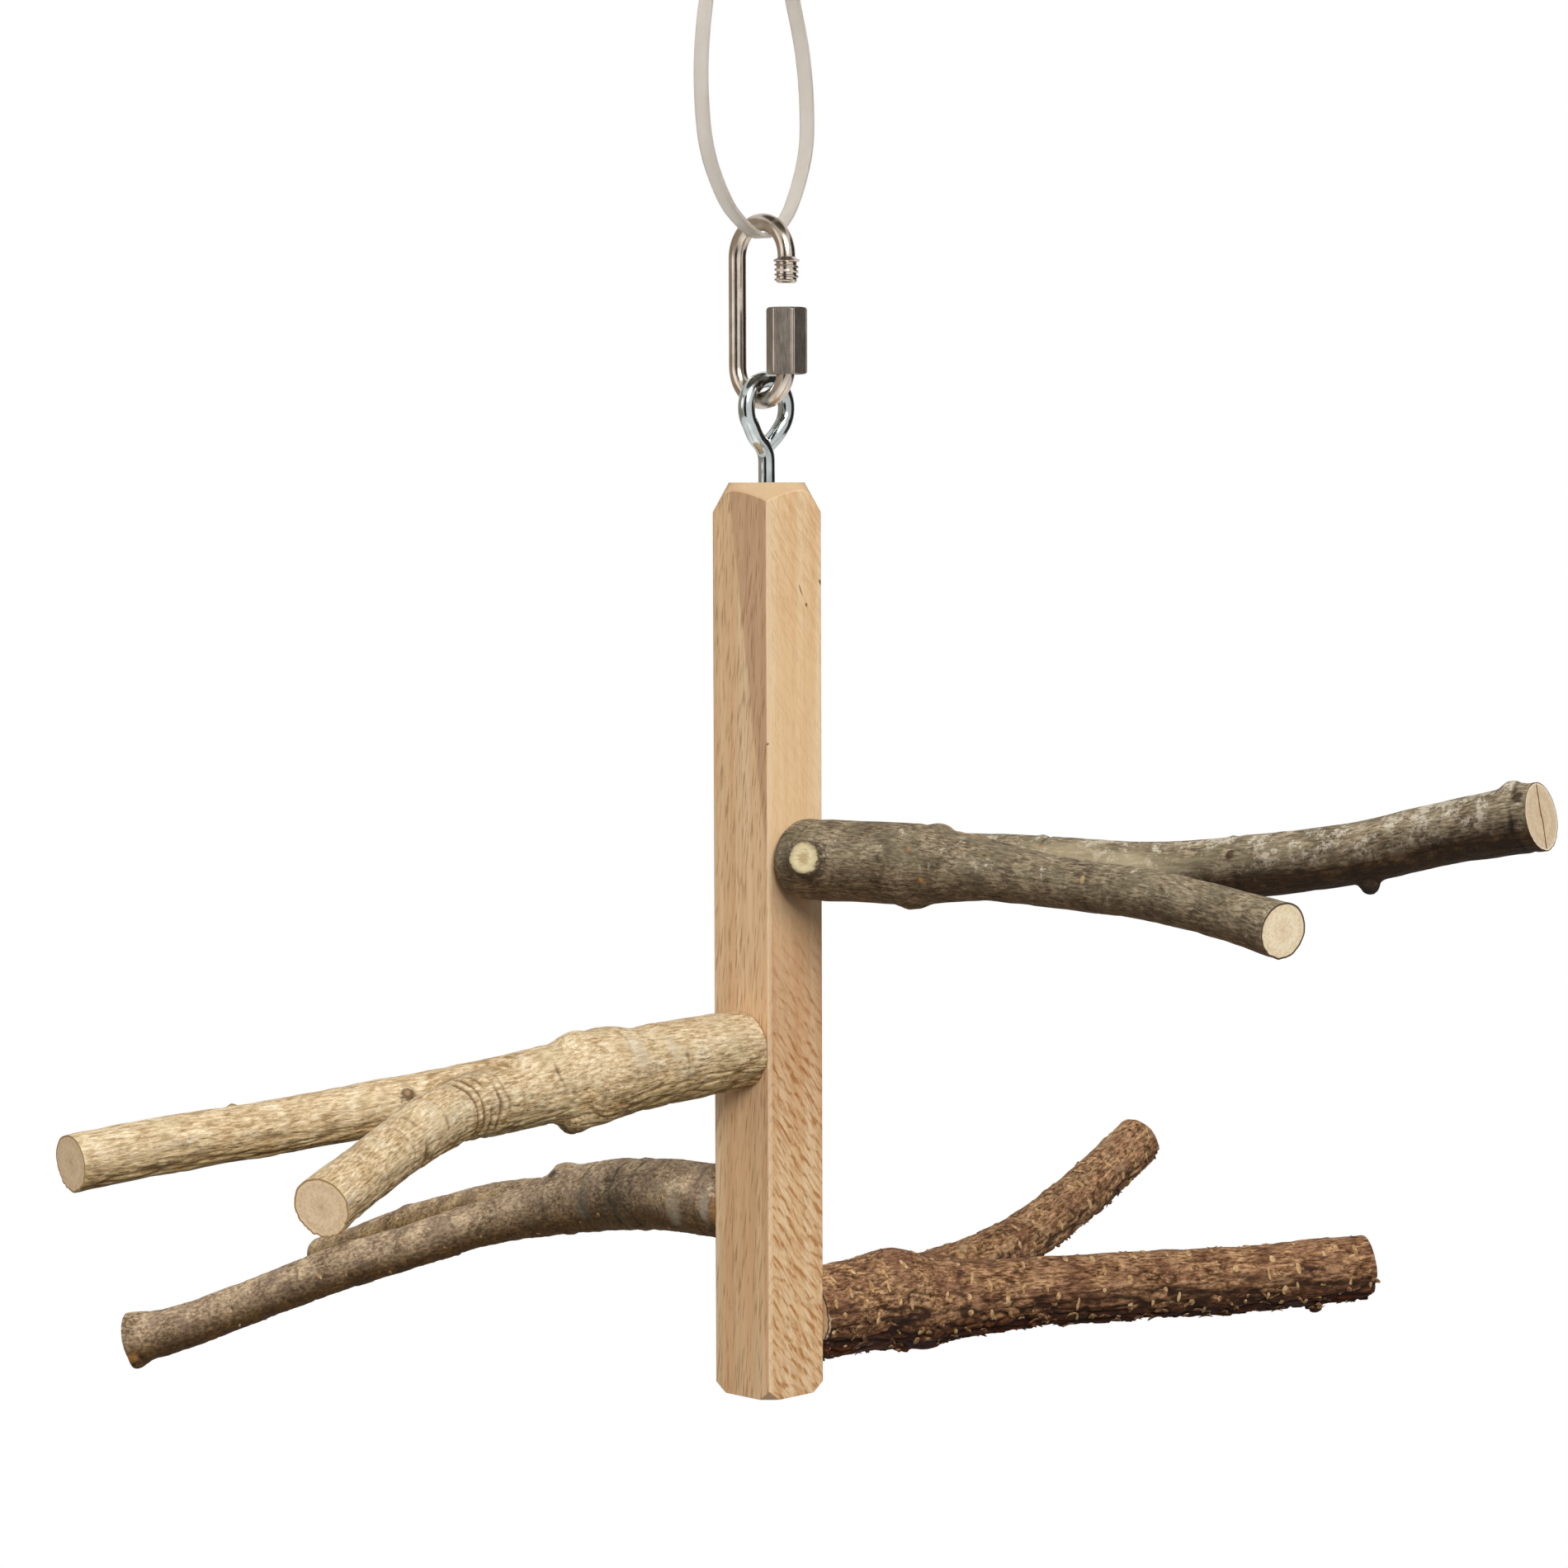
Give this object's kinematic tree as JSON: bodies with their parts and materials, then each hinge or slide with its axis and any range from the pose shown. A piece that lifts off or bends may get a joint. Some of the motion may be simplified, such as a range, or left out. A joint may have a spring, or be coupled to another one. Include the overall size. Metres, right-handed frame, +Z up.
{
  "type": "hanging bird perch",
  "caption": "Square wooden post hung from a strap by a quick link and an eye screw, with forked natural branches as perches for cage birds.",
  "frame": {"origin": "the point under the top of the strap loop where it hangs on a hook or a bar", "axes": "+Z up along the post, +X out of the post face that carries the upper right branch, -Y out of the face that carries the upper left branch"},
  "size_m": [0.3976, 0.3744, 0.3977],
  "materials": {
    "beech": "planed, unvarnished",
    "stainless": "polished wire",
    "dull_steel": "tumbled, matt",
    "zinc": "bright zinc plate",
    "screw_steel": "yellow zinc plate",
    "nylon": "milky, satin",
    "bark_grey": "grey-brown bark",
    "bark_tan": "pale tan bark",
    "bark_dark": "dark grey-brown bark",
    "bark_red": "red-brown flaky bark"
  },
  "bodies": {
    "strap": {"hanging_strap": "nylon", "strap_head": "nylon"},
    "link": {"link_body": "stainless"},
    "nut": {"link_nut": "dull_steel"},
    "perch": {"post": "beech", "eye_screw": "zinc", "branch_right_upper": "bark_grey", "branch_left_upper": "bark_tan", "branch_left_lower": "bark_dark", "branch_right_lower": "bark_red", "dowel_screw_1": "screw_steel", "dowel_screw_2": "screw_steel", "dowel_screw_3": "screw_steel", "dowel_screw_4": "screw_steel"}
  },
  "joints": [
    {"name": "link_swing", "type": "hinge", "parent": "strap", "child": "link", "pos_m": [0, -0.0015, -0.09142], "axis": [0, 1, 0], "range_deg": [-40, 40]},
    {"name": "nut_travel", "type": "slide", "parent": "link", "child": "nut", "axis": [0, 0, 1], "range_m": [0, 0.0112]},
    {"name": "perch_swing", "type": "hinge", "parent": "link", "child": "perch", "pos_m": [0, 0, -0.13006], "axis": [1, 0, 0], "range_deg": [-55, 55]}
  ]
}
